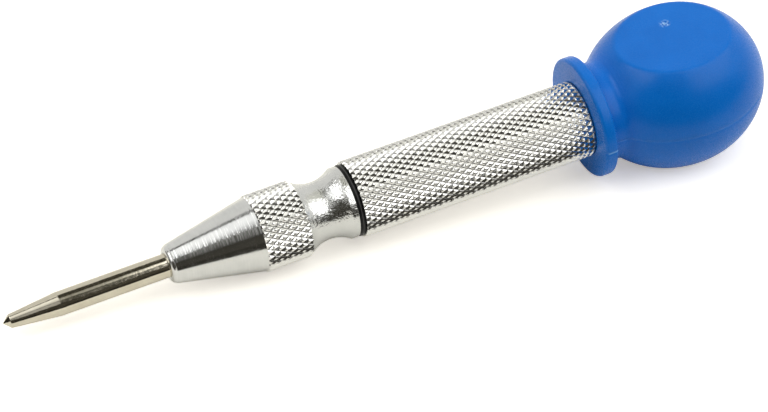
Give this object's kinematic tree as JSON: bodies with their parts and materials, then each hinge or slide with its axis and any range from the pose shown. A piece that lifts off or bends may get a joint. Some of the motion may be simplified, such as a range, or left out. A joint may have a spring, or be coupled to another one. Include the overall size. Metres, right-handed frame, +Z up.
{
  "type": "automatic center punch",
  "caption": "Spring-loaded hand punch with a slim steel point, a knurled nose and barrel, a black seal ring and a blue palm grip that screws out to set the blow.",
  "frame": {"origin": "under the middle of the tool, on the surface that the lower flat of the grip lies on", "axes": "+X along the tool from the point to the grip, +Z up, square to the two flats of the grip"},
  "size_m": [0.1346, 0.0274, 0.0213],
  "materials": {
    "polished_steel": "polished, slightly warm, with a dark ground tip",
    "hardened_steel": "ground and hardened",
    "spring_steel": "drawn wire",
    "plated_steel": "bright plated over fine turning lines",
    "black_rubber": "smooth moulded",
    "knurled_steel": "bright plated over a diamond knurl",
    "seat_brass": "turned",
    "insert_steel": "turned",
    "blue_plastic": "satin moulded"
  },
  "bodies": {
    "barrel": {"barrel": "knurled_steel", "nose_sleeve": "plated_steel", "seal_ring": "black_rubber", "return_spring": "spring_steel", "main_spring": "spring_steel"},
    "point": {"punch_point": "polished_steel"},
    "trip_pin": {"trip_pin": "hardened_steel"},
    "hammer": {"hammer": "hardened_steel"},
    "spring_seat": {"spring_seat": "seat_brass"},
    "grip": {"grip_cap": "blue_plastic", "cap_insert": "insert_steel"}
  },
  "joints": [
    {"name": "point_slide", "type": "slide", "parent": "barrel", "child": "point", "axis": [1, 0, 0], "range_m": [0, 0.009], "stiffness_N_per_m": 200, "springref_m": -0.008, "deforming": ["return_spring"]},
    {"name": "trip_tilt", "type": "hinge", "parent": "point", "child": "trip_pin", "pos_m": [-0.01753, 0, 0.01065], "axis": [0, 1, 0], "range_deg": [-1.52, 0]},
    {"name": "hammer_slide", "type": "slide", "parent": "barrel", "child": "hammer", "axis": [1, 0, 0], "range_m": [0, 0.009], "stiffness_N_per_m": 2500, "deforming": ["main_spring"]},
    {"name": "seat_slide", "type": "slide", "parent": "barrel", "child": "spring_seat", "axis": [1, 0, 0], "range_m": [0, 0.003]},
    {"name": "grip_turn", "type": "hinge", "parent": "spring_seat", "child": "grip", "pos_m": [0.05203, 0, 0.01065], "axis": [1, 0, 0], "range_deg": [0, 1080]}
  ],
  "couplings": [
    {"joint": "trip_tilt", "follows": "point_slide", "rad_per_m": -2.9448},
    {"joint": "hammer_slide", "follows": "point_slide", "ratio": 1},
    {"joint": "grip_turn", "follows": "seat_slide", "rad_per_m": 6283.2}
  ]
}
